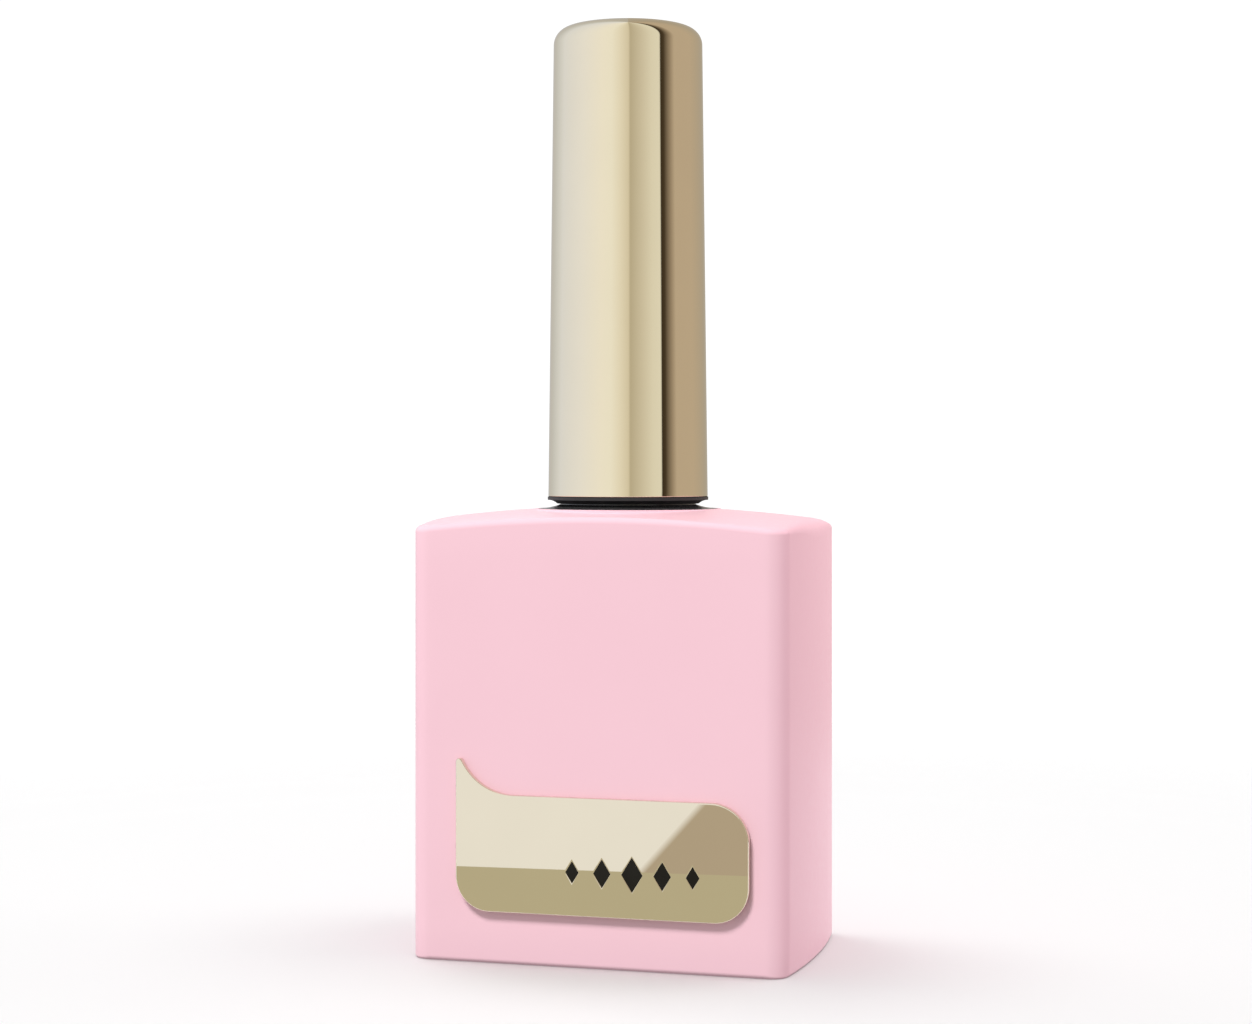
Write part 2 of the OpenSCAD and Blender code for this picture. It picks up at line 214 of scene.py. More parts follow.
class Surface(Graph):
    """A Principled material with short helpers for its procedural detail."""

    def __init__(self, name, color, metallic=0.0, **sockets):
        self.material = bpy.data.materials.new(name)
        self.material.use_nodes = True
        super().__init__(self.material.node_tree)
        self.shader = self.tree.nodes["Principled BSDF"]
        self.shader.inputs["Base Color"].default_value = (*color, 1)
        self.shader.inputs["Metallic"].default_value = metallic
        for key, value in sockets.items():
            self.shader.inputs[key.replace("_", " ")].default_value = value
        self.color = color
        self.coords = self.node("ShaderNodeTexCoord").outputs["Object"]

    def noise(self, size, detail=3.0, stretch=(1, 1, 1)):
        """Noise whose features are about size across, in metres."""
        mapping = self.node("ShaderNodeMapping", Vector=self.coords, Scale=stretch)
        return self.node(
            "ShaderNodeTexNoise", Vector=mapping.outputs[0], Scale=1 / size, Detail=detail
        ).outputs["Fac"]

    def spread(self, noise, low, high):
        """Spreads the middle of a noise over low to high."""
        return self.map_range(noise, NOISE_LOW, NOISE_HIGH, low, high)

    def rough(self, size, low, high, stretch=(1, 1, 1)):
        """Roughness that wanders between two values."""
        noise = self.noise(size, 4, stretch)
        self.put(self.shader.inputs["Roughness"], self.spread(noise, low, high))

    def tint(self, size, other):
        """Clouds of another colour in the base colour."""
        amount = self.spread(self.noise(size), 0, 1)
        color = self.mix_color(amount, (*self.color, 1), (*other, 1))
        self.put(self.shader.inputs["Base Color"], color)

    def bump(self, size, height, detail=2.0, stretch=(1, 1, 1)):
        """A relief of noise. height is in metres."""
        noise = self.noise(size, detail, stretch)
        made = self.node("ShaderNodeBump", Height=noise, Distance=height)
        self.put(self.shader.inputs["Normal"], made.outputs[0])


def pink_lacquer():
    s = Surface("pink_lacquer", (0.87, 0.56, 0.63), Specular_IOR_Level=0.2,
                Coat_Weight=0.05, Coat_Roughness=0.18)
    s.tint(9 * MM, (0.862, 0.552, 0.622))
    s.rough(0.6 * MM, 0.36, 0.46)
    s.bump(0.35 * MM, 0.0015 * MM)
    return s.material


def gold_mirror(name, color, low, high):
    """Bright metal, with its faint unevenness drawn out along Z."""
    s = Surface(name, color, metallic=1.0)
    s.tint(6 * MM, [c * GOLD_SHADE for c in color])
    s.rough(1.5 * MM, low, high, (1, 1, 0.15))
    s.bump(2.2 * MM, 0.0006 * MM, 1, (1, 1, 0.1))
    return s.material


def black_glass():
    s = Surface("dark_glass", (0.05, 0.05, 0.051), Coat_Weight=0.4, Coat_Roughness=0.1)
    s.tint(3 * MM, (0.042, 0.042, 0.043))
    s.rough(0.8 * MM, 0.22, 0.36)
    s.bump(1.2 * MM, 0.003 * MM)
    return s.material


def moulded(name, color, other, low, high, grain, height, **sockets):
    """Moulded plastic with a fine grain."""
    s = Surface(name, color, **sockets)
    s.tint(2.5 * MM, other)
    s.rough(0.5 * MM, low, high)
    s.bump(grain, height)
    return s.material


def bristle_hair():
    s = Surface("bristles", (0.06, 0.045, 0.038))
    s.tint(0.8 * MM, (0.10, 0.07, 0.055))
    s.rough(0.3 * MM, 0.3, 0.45, (1, 1, 0.1))
    s.bump(0.1 * MM, 0.002 * MM, 2, (1, 1, 0.05))
    return s.material


def paper():
    s = Surface("paper_label", (0.85, 0.85, 0.83))
    s.tint(1.2 * MM, (0.82, 0.82, 0.80))
    s.rough(0.2 * MM, 0.5, 0.7)
    s.bump(0.08 * MM, 0.004 * MM, 5)
    return s.material


materials = {
    "glass_bottle": black_glass(),
    "lacquer_coat": pink_lacquer(),
    "wiper_insert": moulded(
        "natural_plastic", (0.84, 0.84, 0.81), (0.80, 0.80, 0.76), 0.3, 0.42,
        0.3 * MM, 0.002 * MM, Subsurface_Weight=0.3, Subsurface_Scale=1 * MM),
    "polish_fill": moulded(
        "polish", (0.88, 0.46, 0.55), (0.85, 0.42, 0.51), 0.06, 0.12,
        3 * MM, 0.004 * MM),
    "base_label": paper(),
    "badge_tape": moulded(
        "adhesive", (0.62, 0.62, 0.62), (0.55, 0.55, 0.55), 0.5, 0.7,
        0.1 * MM, 0.01 * MM),
    "badge_plate": gold_mirror("badge_gold", (0.80, 0.735, 0.595), 0.012, 0.03),
    "badge_inlay": moulded(
        "badge_dark", (0.010, 0.009, 0.007), (0.014, 0.013, 0.010), 0.4, 0.55,
        0.2 * MM, 0.002 * MM, Specular_IOR_Level=0.12),
    "seal_liner": moulded(
        "foam_liner", (0.86, 0.86, 0.83), (0.80, 0.80, 0.77), 0.6, 0.8,
        0.12 * MM, 0.02 * MM),
    "inner_cap": moulded(
        "black_plastic", (0.034, 0.034, 0.035), (0.027, 0.027, 0.028), 0.45, 0.6,
        0.15 * MM, 0.004 * MM, Specular_IOR_Level=0.3),
    "overcap": gold_mirror("metallised_gold", (0.83, 0.75, 0.57), 0.02, 0.045),
    "brush_stem": moulded(
        "stem_plastic", (0.04, 0.04, 0.043), (0.03, 0.03, 0.033), 0.26, 0.36,
        0.4 * MM, 0.003 * MM),
    "bristle_staple": moulded(
        "staple_steel", (0.62, 0.62, 0.60), (0.55, 0.55, 0.53), 0.25, 0.4,
        0.1 * MM, 0.003 * MM, metallic=1.0),
    "brush_bristles": bristle_hair(),
}


def dress_cad_nodes():
    """Gives each CAD node its material and smooth round faces."""
    for name, obj in nodes.items():
        obj.data.materials.clear()
        obj.data.materials.append(materials[name])
        smooth(obj)


def stand_in(obj, node, body):
    """Puts a Blender piece in place of a CAD node."""
    obj.data.materials.append(materials[node])
    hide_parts(node)
    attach(obj, body)


# ---- Lacquered body ----

CORNER_R = 2.0 * MM
END_BOW = 0.6 * MM
ARCH_FRONT_R = 150 * MM
ARCH_SIDE_R = 75 * MM
CROWN_Z = 43.05 * MM
SKIN_T = 0.1 * MM
SKIN_SHARP_ANGLE = 60

# Ring round the neck where the lacquer stops
SEAT_R = 9.1 * MM
SEAT_Z = CROWN_Z - 0.25 * MM
SEAT_EDGE_R = 0.09 * MM
FOOT_R = 8.75 * MM
FOOT_DEPTH = 0.5 * MM

# Rounding of the base, less at the upright corners, and how far the skin goes under it
BASE_EDGE_R = 0.45 * MM
BASE_CORNER_CUT = 0.4 * MM
BASE_REACH = 1.5 * MM

# Rounding of the shoulder over the front and back, and over the ends
FACE_EDGE_R = 0.64 * MM
END_EDGE_R = 2.0 * MM
END_EDGE_SPAN = 0.08

CORNER_STEPS = 20
END_STEPS = 30
FACE_STEPS = 44
WALL_STEPS = 14
BASE_STEPS = 6
SHOULDER_STEPS = 12
SEAT_STEPS = 4
LONG_GAP = 1 * MM
SAME_POINT = 0.001 * MM
SLOPE_STEP = 0.1


def plan_outline(half_w, half_d, r):
    """Points of the plan with their outward directions, anticlockwise from the right front."""
    reach = half_d - r
    bow_r = (reach ** 2 + END_BOW ** 2) / (2 * END_BOW)
    turn = math.degrees(math.asin(reach / bow_r))
    bow_x = half_w - r - bow_r
    corner_x = bow_x + bow_r * math.cos(math.radians(turn))
    arcs = [
        (corner_x, -reach, r, -90, -turn, CORNER_STEPS),
        (bow_x, 0, bow_r + r, -turn, turn, END_STEPS),
        (corner_x, reach, r, turn, 90, CORNER_STEPS),
        (-corner_x, reach, r, 90, 180 - turn, CORNER_STEPS),
        (-bow_x, 0, bow_r + r, 180 - turn, 180 + turn, END_STEPS),
        (-corner_x, -reach, r, 180 + turn, 270, CORNER_STEPS),
    ]
    points = []
    for x, y, radius, start, stop, steps in arcs:
        for i in range(steps + 1):
            t = math.radians(start + (stop - start) * i / steps)
            out = Vector((math.cos(t), math.sin(t)))
            p = Vector((x, y)) + radius * out
            if points and (p - points[-1][0]).length > LONG_GAP:
                points += flat_run(points[-1][0], p, out)
            if not points or (p - points[-1][0]).length > SAME_POINT:
                points.append((p, out))
    return points + flat_run(points[-1][0], points[0][0], points[0][1])


def flat_run(start, stop, out):
    """Points between two others on a flat face, without its ends."""
    return [(start.lerp(stop, k / FACE_STEPS), out) for k in range(1, FACE_STEPS)]


def dome_z(p):
    """Height of the shoulder's double arch at a point of the plan."""
    ring = (ARCH_FRONT_R - ARCH_SIDE_R) + math.sqrt(ARCH_SIDE_R ** 2 - p.y ** 2)
    return CROWN_Z - ARCH_FRONT_R + math.sqrt(ring ** 2 - p.x ** 2)


def shoulder_edge_r(out):
    """The rounding over the ends is larger than over the front and the back."""
    turn = math.atan2(abs(out.y), abs(out.x))
    end_share = math.exp(-(turn / END_EDGE_SPAN) ** 2)
    return FACE_EDGE_R + (END_EDGE_R - FACE_EDGE_R) * end_share


def seat_profile(foot):
    """The lacquer's raised ring round the neck, as (radius, height), from the dome inwards."""
    rise = SEAT_Z - foot
    squash = min(1, rise / SEAT_EDGE_R)
    wall_r = FOOT_R + 0.005 * MM
    return (
        [(SEAT_R + 0.03 * MM, foot + rise * 0.1), (SEAT_R, foot + rise * 0.4)]
        + [(SEAT_R - SEAT_EDGE_R + x, SEAT_Z - SEAT_EDGE_R * squash + z)
           for x, z in arc(0, 0, SEAT_EDGE_R, 0, 90, SEAT_STEPS)]
        + [(FOOT_R + 0.02 * MM, SEAT_Z), (wall_r, SEAT_Z - 0.02 * MM),
           (wall_r, SEAT_Z - FOOT_DEPTH)]
    )


def body_section(p, out):
    """From the base, up the wall and over the shoulder to the neck, at one point of the plan."""
    section = []

    def add(inset, z):
        q = p - out * inset
        section.append((q.x, q.y, z))

    base_r = BASE_EDGE_R - BASE_CORNER_CUT * abs(out.x * out.y)
    add(BASE_REACH, 0)
    for x, z in arc(base_r, base_r, base_r, 270, 180, BASE_STEPS):
        add(x, z)

    r = shoulder_edge_r(out)
    inner = p - out * r
    slope = (dome_z(inner - out * SLOPE_STEP * MM) - dome_z(inner)) / (SLOPE_STEP * MM)
    lean = math.atan(slope)
    centre_z = dome_z(inner + out * r * math.sin(lean)) - r * math.cos(lean)
    for i in range(1, WALL_STEPS):
        add(0, base_r + (centre_z - base_r) * i / WALL_STEPS)
    for x, z in arc(0, 0, r, 0, 90 - math.degrees(lean), SHOULDER_STEPS):
        add(r - x, centre_z + z)

    start = Vector(section[-1][:2])
    turn = math.atan2(start.y, start.x)
    ray = Vector((math.cos(turn), math.sin(turn)))
    rim = ray * (SEAT_R + 0.12 * MM)
    for i in range(1, SHOULDER_STEPS + 1):
        q = start.lerp(rim, i / SHOULDER_STEPS)
        section.append((q.x, q.y, dome_z(q)))
    for radius, z in seat_profile(dome_z(rim)):
        q = ray * radius
        section.append((q.x, q.y, min(z, SEAT_Z)))
    return section


def lacquer_skin():
    outline = plan_outline(coat_high.x, coat_high.y, CORNER_R)
    sections = [body_section(p, out) for p, out in outline]
    bm = bmesh.new()
    columns = [[bm.verts.new(v) for v in section] for section in sections]
    for i, low in enumerate(columns):
        high = columns[(i + 1) % len(columns)]
        for a, b, c, d in zip(low, high, high[1:], low[1:]):
            bm.faces.new((a, b, c, d))
    obj = smooth_object("lacquer_skin", mesh_from("lacquer_skin", bm), SKIN_SHARP_ANGLE)
    shell = obj.modifiers.new("thickness", "SOLIDIFY")
    shell.thickness = SKIN_T
    shell.offset = -1
    stand_in(obj, "lacquer_coat", "bottle")


# ---- Gold cap ----

CAP_TOP_R = 7.28 * MM
CAP_EDGE_R = 1.7 * MM
CAP_CROWN = 0.1 * MM
CAP_LIP_R = 0.12 * MM
CAP_WALL = 0.6 * MM
CAP_BORE_R = 7.12 * MM
CAP_SEGMENTS = 256


def gold_shell():
    """The tapered shell: a slightly crowned top, a rounded edge and a hollow inside."""
    bottom = shell_low.z
    top = shell_high.z
    bottom_r = shell_high.x
    side_z = top - CAP_CROWN - CAP_EDGE_R
    inner_top = side_z - 1.2 * MM
    flat_r = CAP_TOP_R - CAP_EDGE_R
    profile = [(0, top)]
    profile += [(flat_r * i / 8, top - CAP_CROWN * (i / 8) ** 2) for i in range(1, 8)]
    profile += [(flat_r + x, side_z + z) for x, z in arc(0, 0, CAP_EDGE_R, 90, 0, 16)]
    profile += [(bottom_r + (CAP_TOP_R - bottom_r) * t, bottom + (side_z - bottom) * t)
                for t in (0.999, 0.75, 0.5, 0.25, 0.02)]
    profile += [(bottom_r - CAP_LIP_R + x, bottom + CAP_LIP_R + z)
                for x, z in arc(0, 0, CAP_LIP_R, 0, -90, 5)]
    profile += [(CAP_BORE_R, bottom), (CAP_BORE_R, bottom + 4 * MM),
                (CAP_BORE_R - 0.05 * MM, bottom + 5 * MM),
                (CAP_TOP_R - CAP_WALL, inner_top), (0, inner_top)]
    shell = lathe("gold_shell", profile, CAP_SEGMENTS)
    stand_in(shell, "overcap", "cap")


# ---- Badge ----

BADGE_TOP_Z = 16.05 * MM
BADGE_LOW_R = 3.3 * MM
BADGE_HIGH_R = 3.6 * MM
BADGE_TAIL_R = 5.7 * MM
BADGE_TIP_R = 0.32 * MM
BADGE_EDGE_R = 0.13 * MM
BADGE_SHARP_ANGLE = 50

INLAY_SINK = 0.10 * MM
INLAY_T = 0.15 * MM
INLAY_EDGE_R = 0.02 * MM
LOZENGE_X = 3.9 * MM
LOZENGE_Z = 9.1 * MM
LOZENGE_SPACING = 2.9 * MM
LOZENGE_SLIM = 0.62

MERGE_GAP = 0.0005 * MM
FLAT_NORMAL = 0.999


def badge_loop():
    """The plate's outline: round corners and a curved tail, in front view."""
    left, right = plate_low.x, plate_high.x
    low, tip = plate_low.z, plate_high.z
    tail_x, tail_z = left + BADGE_TAIL_R, BADGE_TOP_Z + BADGE_TAIL_R
    tip_x = left + BADGE_TIP_R
    tip_z = tip - BADGE_TIP_R
    reach = math.degrees(math.acos((tail_x - tip_x) / (BADGE_TAIL_R + BADGE_TIP_R)))
    return (
        arc(left + BADGE_LOW_R, low + BADGE_LOW_R, BADGE_LOW_R, 180, 270)
        + arc(right - BADGE_LOW_R, low + BADGE_LOW_R, BADGE_LOW_R, 270, 360)
        + arc(right - BADGE_HIGH_R, BADGE_TOP_Z - BADGE_HIGH_R, BADGE_HIGH_R, 0, 90)
        + arc(tail_x, tail_z, BADGE_TAIL_R, 270, 180 + reach, 16)
        + arc(tip_x, tip_z, BADGE_TIP_R, reach, 180, 8)
    )


def lozenges():
    """Outlines of the inlay's five lozenges, the middle one the largest."""
    loops = []
    for i in range(-2, 3):
        tall = (1.6 - 0.3 * abs(i)) * MM
        wide = LOZENGE_SLIM * tall
        x = LOZENGE_X + i * LOZENGE_SPACING
        loops.append([(x - wide, LOZENGE_Z), (x, LOZENGE_Z - tall),
                      (x + wide, LOZENGE_Z), (x, LOZENGE_Z + tall)])
    return loops


def relief(name, loops, front, thick, edge):
    """A plate in front view with rounded front and back edges, with its face at depth front."""
    curve = bpy.data.curves.new(name, "CURVE")
    curve.dimensions = "2D"
    curve.fill_mode = "BOTH"
    curve.extrude = thick / 2 - edge
    curve.bevel_depth = edge
    curve.bevel_resolution = 3
    curve.offset = -edge
    for loop in loops:
        spline = curve.splines.new("POLY")
        spline.points.add(len(loop) - 1)
        for point, (x, z) in zip(spline.points, loop):
            point.co = (x, z, 0, 1)
        spline.use_cyclic_u = True
    source = add_object(name + "_curve", curve)
    bpy.context.view_layer.update()
    mesh = bpy.data.meshes.new_from_object(source.evaluated_get(
        bpy.context.evaluated_depsgraph_get()))
    bpy.data.objects.remove(source)
    mesh.name = name
    mesh.materials.clear()
    for v in mesh.vertices:
        v.co = (v.co.x, front + thick / 2 - v.co.z, v.co.y)
    bm = bmesh.new()
    bm.from_mesh(mesh)
    bmesh.ops.remove_doubles(bm, verts=bm.verts, dist=MERGE_GAP)
    bmesh.ops.recalc_face_normals(bm, faces=bm.faces)
    bm.to_mesh(mesh)
    bm.free()
    obj = smooth_object(name, mesh, BADGE_SHARP_ANGLE)
    for face in mesh.polygons:
        face.use_smooth = abs(face.normal.y) < FLAT_NORMAL
    return obj


def badge():
    front = plate_low.y
    thick = plate_high.y - plate_low.y
    plate = relief("badge_face", [badge_loop()] + lozenges(), front, thick, BADGE_EDGE_R)
    stand_in(plate, "badge_plate", "bottle")
    inlay = relief("badge_lozenges", lozenges(), front + INLAY_SINK, INLAY_T, INLAY_EDGE_R)
    stand_in(inlay, "badge_inlay", "bottle")


# ---- Brush ----

STEM_R = 1.6 * MM
STEM_EDGE_R = 0.2 * MM
STEM_SEGMENTS = 96
SOCKET_R = 1.15 * MM
SOCKET_DEPTH = 4 * MM
HEAD_R = 2.35 * MM
HEAD_H = 9 * MM
COLLAR_R = HEAD_R - 0.15 * MM
COLLAR_H = 0.9 * MM

TUFT_SEED = 11
TUFT_COUNT = 330
TUFT_SHARP_ANGLE = 80
TUFT_ROOT_R = 1.05 * MM
TUFT_HALF_W = 2.0 * MM
TUFT_HALF_T = 0.68 * MM
TUFT_ROUND = 2.3 * MM
FIBRE_R = 0.055 * MM
FIBRE_SIDES = 5
FIBRE_RINGS = 8
FIBRE_STRAY = 0.05
FIBRE_UNEVEN = 0.35

# Share of a fibre's radius that its last two rings have
FIBRE_TIP = {FIBRE_RINGS - 1: 0.75, FIBRE_RINGS: 0.35}


def brush_stem():
    """The stem, from the socket that holds the bristles up to the head in the inner cap."""
    low, high = (corner.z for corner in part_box("brush_stem"))
    shoulder = high - HEAD_H
    profile = [(0, low + SOCKET_DEPTH), (SOCKET_R, low + SOCKET_DEPTH), (SOCKET_R, low + 0.1 * MM)]
    profile += [(STEM_R - STEM_EDGE_R + x, low + STEM_EDGE_R + z)
                for x, z in arc(0, 0, STEM_EDGE_R, -90, 0, 5)]
    profile += [(STEM_R - 0.06 * MM, low + 6 * MM), (STEM_R - 0.04 * MM, low + 14 * MM),
                (STEM_R, low + 24 * MM), (STEM_R, shoulder - COLLAR_H),
                (COLLAR_R, shoulder - COLLAR_H), (COLLAR_R, shoulder), (HEAD_R, shoulder),
                (HEAD_R, high - STEM_EDGE_R), (HEAD_R - STEM_EDGE_R, high), (0, high)]
    stem = lathe("stem_shaft", profile, STEM_SEGMENTS)
    stand_in(stem, "brush_stem", "cap")


def brush_tuft():
    """Filaments that leave the socket as a round bundle and spread into a flat oval brush."""
    rng = random.Random(TUFT_SEED)
    root_z = tuft_high.z - 0.05 * MM
    mouth_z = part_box("brush_stem")[0].z
    tip_z = tuft_low.z
    bm = bmesh.new()
    for i in range(TUFT_COUNT):
        share = math.sqrt((i + 0.5) / TUFT_COUNT)
        turn = i * math.pi * (3 - math.sqrt(5))
        u, v = share * math.cos(turn), share * math.sin(turn)
        stray = rng.uniform(-FIBRE_STRAY, FIBRE_STRAY)
        uneven = rng.uniform(0, FIBRE_UNEVEN) * MM
        length = (root_z - tip_z) - TUFT_ROUND * (u * u) - uneven
        rings = []
        for k in range(FIBRE_RINGS + 1):
            t = k / FIBRE_RINGS
            fall = max(mouth_z - root_z + length * t, 0) / (mouth_z - root_z + length)
            spread = fall * fall * (3 - 2 * fall)
            x = u * (TUFT_ROOT_R * (1 - spread) + TUFT_HALF_W * spread) + stray * MM * t
            y = v * (TUFT_ROOT_R * (1 - spread) + TUFT_HALF_T * spread) + stray * 0.5 * MM * t
            z = root_z - length * t
            r = FIBRE_R * FIBRE_TIP.get(k, 1)
            rings.append([bm.verts.new((x + r * math.cos(s), y + r * math.sin(s), z))
                          for s in circle(FIBRE_SIDES)])
        for low, high in zip(rings, rings[1:]):
            for s in range(FIBRE_SIDES):
                n = (s + 1) % FIBRE_SIDES
                bm.faces.new((low[s], high[s], high[n], low[n]))
        bm.faces.new(rings[0])
        bm.faces.new(list(reversed(rings[-1])))
    bmesh.ops.recalc_face_normals(bm, faces=bm.faces)
    tuft = smooth_object("brush_tuft", mesh_from("brush_tuft", bm), TUFT_SHARP_ANGLE)
    stand_in(tuft, "brush_bristles", "cap")


# ---- Studio ----

# Colours that mirrors see around the studio, as (degrees to the right of the camera, colour)
STUDIO = [
    (-180, (0.53, 0.52, 0.52)), (-153, (0.59, 0.585, 0.59)), (-143, (0.63, 0.65, 0.68)),
    (-134, (0.69, 0.72, 0.785)), (-124, (0.765, 0.80, 0.885)), (-115, (0.83, 0.87, 0.99)),
    (-72, (0.93, 0.95, 1.02)), (-40, (0.99, 0.985, 0.97)), (-25, (0.98, 0.98, 0.94)),
    (-12, (0.90, 0.87, 0.78)), (1, (0.77, 0.72, 0.60)), (3, (0.56, 0.51, 0.40)),
    (22, (0.72, 0.68, 0.58)), (36, (0.83, 0.81, 0.72)), (49, (0.86, 0.85, 0.77)),
    (50.5, (0.05, 0.035, 0.02)), (56, (0.07, 0.05, 0.03)), (67, (0.36, 0.29, 0.22)),
    (75, (0.57, 0.475, 0.38)), (109, (0.57, 0.475, 0.38)), (151, (0.465, 0.415, 0.35)),
    (180, (0.49, 0.45, 0.40)),
]

# The soft light: its colour, and its level from below (LOW) past the horizon to above (HIGH)
SOFT_SATURATION = 0.25
SOFT_EVENNESS = 0.55
SOFT_COLOR = (0.88, 0.87, 0.88, 1)
RISE_LOW, RISE_HIGH = -0.2, 0.3
RISE_FROM, RISE_TO = 0.50, 0.90
FALL_LOW, FALL_HIGH = 0.3, 0.9
FALL_FROM, FALL_TO = 1.0, 0.12
BACKDROP = 1.05

FLOOR_RINGS = (60, 110, 130, 150, 170, 190, 210, 230, 250)
FLOOR_SEGMENTS = 64
FLOOR_FADE_START = 110
FLOOR_FADE_WIDTH = 140

# The badge's reflected zones, as places on its face
CARD_GAP = 5 * MM
CARD_LIGHT_GAP = 1.05 * CARD_GAP
CARD_LEFT, CARD_RIGHT = -17 * MM, 19 * MM
CARD_LOW, CARD_TOP = 1.5 * MM, 22 * MM
SPLIT_Z = 9.36 * MM
SPLIT_SLOPE = 0.37 / 28.4
SLANT_LOW_X = 4.8 * MM
SLANT_HIGH_X = 12.1 * MM
SLANT_HIGH_Z = 17.6 * MM
SLANT_SOFT = 0.45 * MM


def make_world():
    """White to the camera, the banded studio to mirrors and an even soft light to the rest."""
    world = bpy.data.worlds.new("studio")
    bpy.context.scene.world = world
    world.use_nodes = True
    world.node_tree.nodes.clear()
    n = Graph(world.node_tree)

    def background(color, strength=1.0):
        return n.node("ShaderNodeBackground", Color=color, Strength=strength).outputs[0]

    ray = n.node("ShaderNodeTexCoord").outputs["Generated"]
    x, y, z = n.node("ShaderNodeSeparateXYZ", Vector=ray).outputs
    turn = n.math("ARCTAN2", x, n.math("MULTIPLY", y, -1))
    share = n.math("MULTIPLY_ADD", turn, 1 / math.tau, 0.5)
    share = n.math("FRACT", n.math("SUBTRACT", share, CAMERA_TURN / math.tau))
    ramp = n.tree.nodes.new("ShaderNodeValToRGB")
    n.put(ramp.inputs[0], share)
    stops = ramp.color_ramp.elements
    while len(stops) > 1:
        stops.remove(stops[-1])
    for i, (angle, color) in enumerate(STUDIO):
        stop = stops[0] if i == 0 else stops.new((angle + 180) / 360)
        stop.color = (*color, 1)
    bands = background(ramp.outputs[0])

    grey = n.node("ShaderNodeHueSaturation", Saturation=SOFT_SATURATION, Color=ramp.outputs[0])
    rise = n.map_range(z, RISE_LOW, RISE_HIGH, RISE_FROM, RISE_TO)
    fall = n.map_range(z, FALL_LOW, FALL_HIGH, FALL_FROM, FALL_TO)
    even = n.mix_color(SOFT_EVENNESS, grey.outputs[0], SOFT_COLOR)
    soft = background(even, n.math("MULTIPLY", rise, fall))

    path = n.node("ShaderNodeLightPath").outputs
    lit = n.mix_shader(path["Is Glossy Ray"], soft, bands)
    seen = n.mix_shader(path["Is Camera Ray"], lit, background((1, 1, 1, 1), BACKDROP))
    n.node("ShaderNodeOutputWorld", Surface=seen)


def make_floor():
    """A pale round floor that fades into the white backdrop."""
    bm = bmesh.new()
    fade = bm.verts.layers.float.new("fade")
    centre = bm.verts.new((0, 0, 0))
    centre[fade] = 1
    before = None
    for ring in FLOOR_RINGS:
        t = min(max((ring - FLOOR_FADE_START) / FLOOR_FADE_WIDTH, 0), 1)
        now = []
        for turn in circle(FLOOR_SEGMENTS):
            v = bm.verts.new((ring * MM * math.cos(turn), ring * MM * math.sin(turn), 0))
            v[fade] = 1 - t * t * (3 - 2 * t)
            now.append(v)
        for i in range(FLOOR_SEGMENTS):
            j = (i + 1) % FLOOR_SEGMENTS
            if before is None:
                bm.faces.new((centre, now[i], now[j]))
            else:
                bm.faces.new((before[i], now[i], now[j], before[j]))
        before = now
    floor = add_object("floor", mesh_from("floor", bm))
    s = Surface("floor_white", (0.93, 0.93, 0.93), Specular_IOR_Level=0.0, Roughness=1.0)
    s.put(s.shader.inputs["Alpha"], s.attribute("fade"))
    floor.data.materials.append(s.material)
    floor.visible_diffuse = False
    return floor


def reflector(name, gap, spots, fades, faces, color):
    """A small tinted card in front of the badge, seen only in reflections. Each spot is the
    place on the badge where the camera sees that corner of the card."""
    face_y = plate_low.y
    eye = camera.location
    image = Vector((eye.x, 2 * face_y - eye.y, eye.z))
    corners = []
    for x, z in spots:
        point = Vector((x, face_y, z))
        ray = point - image
        corners.append(point - ray * (gap / ray.y))
    mesh = bpy.data.meshes.new(name)
    mesh.from_pydata(corners, [], faces)
    fade = mesh.attributes.new("fade", "FLOAT", "POINT")
    for i, value in enumerate(fades):
        fade.data[i].value = value
    material = bpy.data.materials.new(name)
    material.use_nodes = True
    material.node_tree.nodes.clear()
    n = Graph(material.node_tree)
    glow = n.node("ShaderNodeEmission", Color=(*color, 1))
    clear = n.node("ShaderNodeBsdfTransparent")
    shown = n.mix_shader(n.attribute("fade"), clear.outputs[0], glow.outputs[0])
    n.node("ShaderNodeOutputMaterial", Surface=shown)
    mesh.materials.append(material)
    card = add_object(name, mesh)
    card.visible_camera = False
    card.visible_diffuse = False
    card.visible_shadow = False
    card.visible_transmission = False
    card.visible_volume_scatter = False


def split_z(x):
    """Height of the line between the badge's light zone and its darker lower band."""
    return SPLIT_Z + SPLIT_SLOPE * x


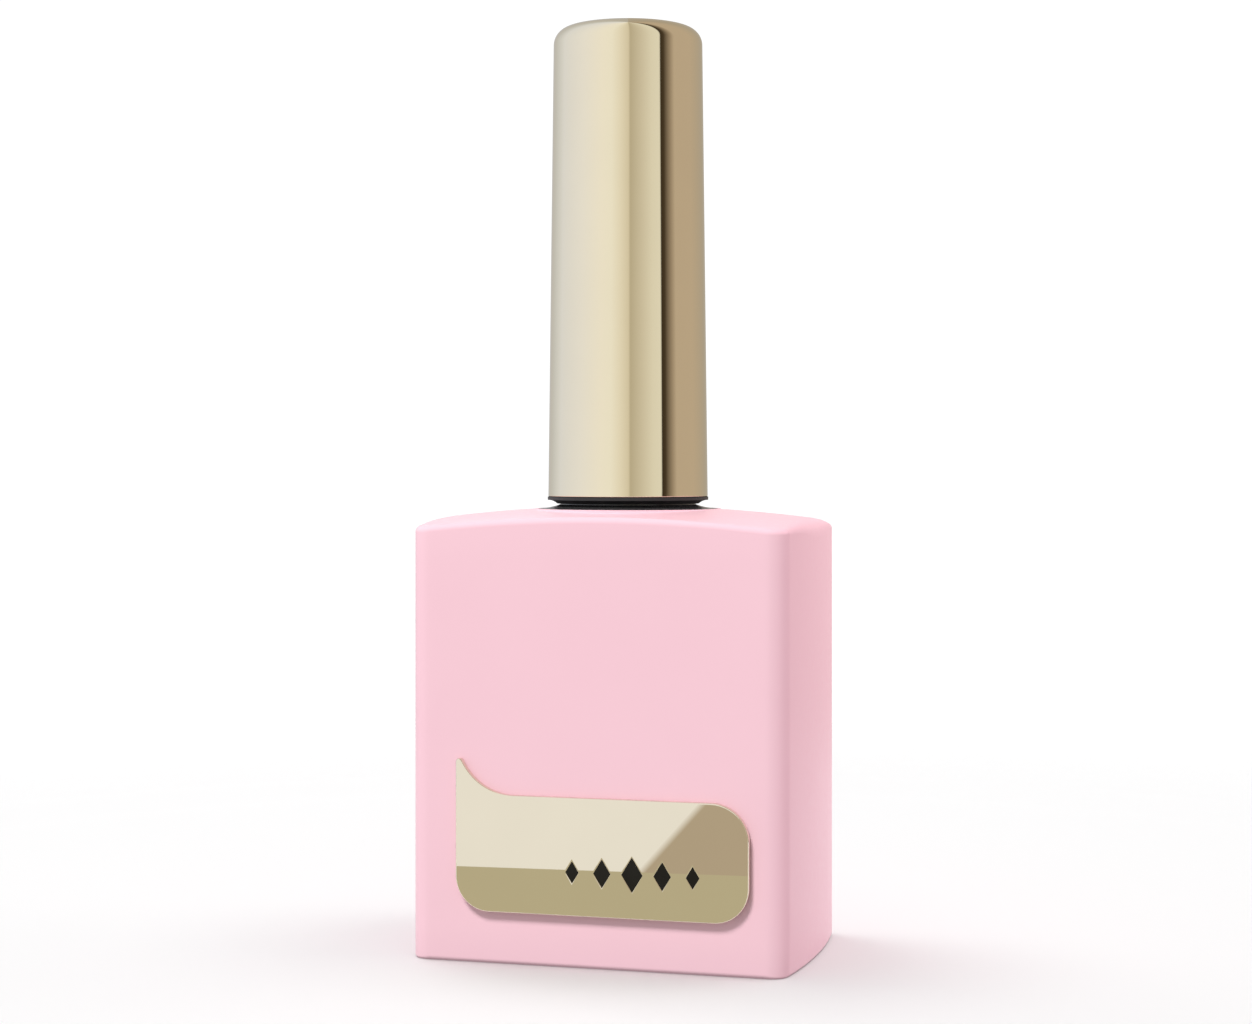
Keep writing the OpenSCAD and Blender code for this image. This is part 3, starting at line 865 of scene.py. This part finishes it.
def badge_reflectors():
    """Cards for the mirror-like badge: its light zone, lower band and upper right corner."""
    left, right = (CARD_LEFT, split_z(CARD_LEFT)), (CARD_RIGHT, split_z(CARD_RIGHT))
    quad = [(0, 1, 3, 2)]
    reflector(
        "card_light", CARD_LIGHT_GAP, [left, right, (CARD_LEFT, CARD_TOP), (CARD_RIGHT, CARD_TOP)],
        [1, 1, 1, 1], quad, (0.99, 0.99, 0.99))
    reflector(
        "card_low", CARD_GAP, [(CARD_LEFT, CARD_LOW), (CARD_RIGHT, CARD_LOW), left, right],
        [1, 1, 1, 1], quad, (0.57, 0.525, 0.375))
    base = split_z(SLANT_LOW_X)
    reflector(
        "card_high", CARD_GAP,
        [(SLANT_LOW_X - SLANT_SOFT, base), (SLANT_LOW_X + SLANT_SOFT, base), right,
         (SLANT_HIGH_X - SLANT_SOFT, SLANT_HIGH_Z), (SLANT_HIGH_X + SLANT_SOFT, SLANT_HIGH_Z),
         (CARD_RIGHT, SLANT_HIGH_Z)],
        [0, 1, 1, 0, 1, 1], [(0, 1, 4, 3), (1, 2, 5, 4)], (0.53, 0.452, 0.351))


def area_light(name, place, size, power, group, target=(0, 0, 0.03), color=(1, 1, 1)):
    """A soft round lamp that lights one group of objects."""
    data = bpy.data.lights.new(name, "AREA")
    data.shape = "DISK"
    data.size = size
    data.energy = power
    data.color = color
    lamp = add_object(name, data)
    lamp.location = place
    aim = Vector(target) - Vector(place)
    lamp.rotation_euler = aim.to_track_quat("-Z", "Y").to_euler()
    lamp.visible_glossy = False
    lamp.visible_camera = False
    lamp.light_linking.receiver_collection = group


def group_of(name, objects):
    group = bpy.data.collections.new(name)
    for obj in objects:
        group.objects.link(obj)
    return group


def make_studio(pieces):
    make_world()
    ground = group_of("ground", [make_floor()])
    subject = group_of("subject", pieces)
    badge_reflectors()
    area_light("top", (0, 0, 1.3), 2.0, 11.6, ground)
    area_light("left", (-0.20, 0.10, 0.60), 0.30, 0.85, ground)
    area_light("right", (0.24, 0.10, 0.60), 0.30, 0.55, ground)
    area_light("key", (-0.26, -0.94, 1.14), 0.40, 20.3, subject)
    area_light("back", (-0.20, 0.50, 0.35), 0.30, 1.5, subject)
    area_light("far_side", (-0.45, 0.10, 0.25), 0.30, 0.5, subject)
    area_light("side", (0.45, 0.10, 0.25), 0.30, 0.95, subject, color=(1, 0.72, 0.80))
    area_light("rim", (0.085, 0.075, 0.05), 0.04, 0.05, subject, (0.0188, 0.008, 0.022))
    view = bpy.context.scene.view_settings
    view.view_transform = "Standard"
    view.look = "None"


dress_cad_nodes()
lacquer_skin()
gold_shell()
badge()
brush_stem()
brush_tuft()
make_studio([obj for obj in bpy.data.objects if obj.type == "MESH"])
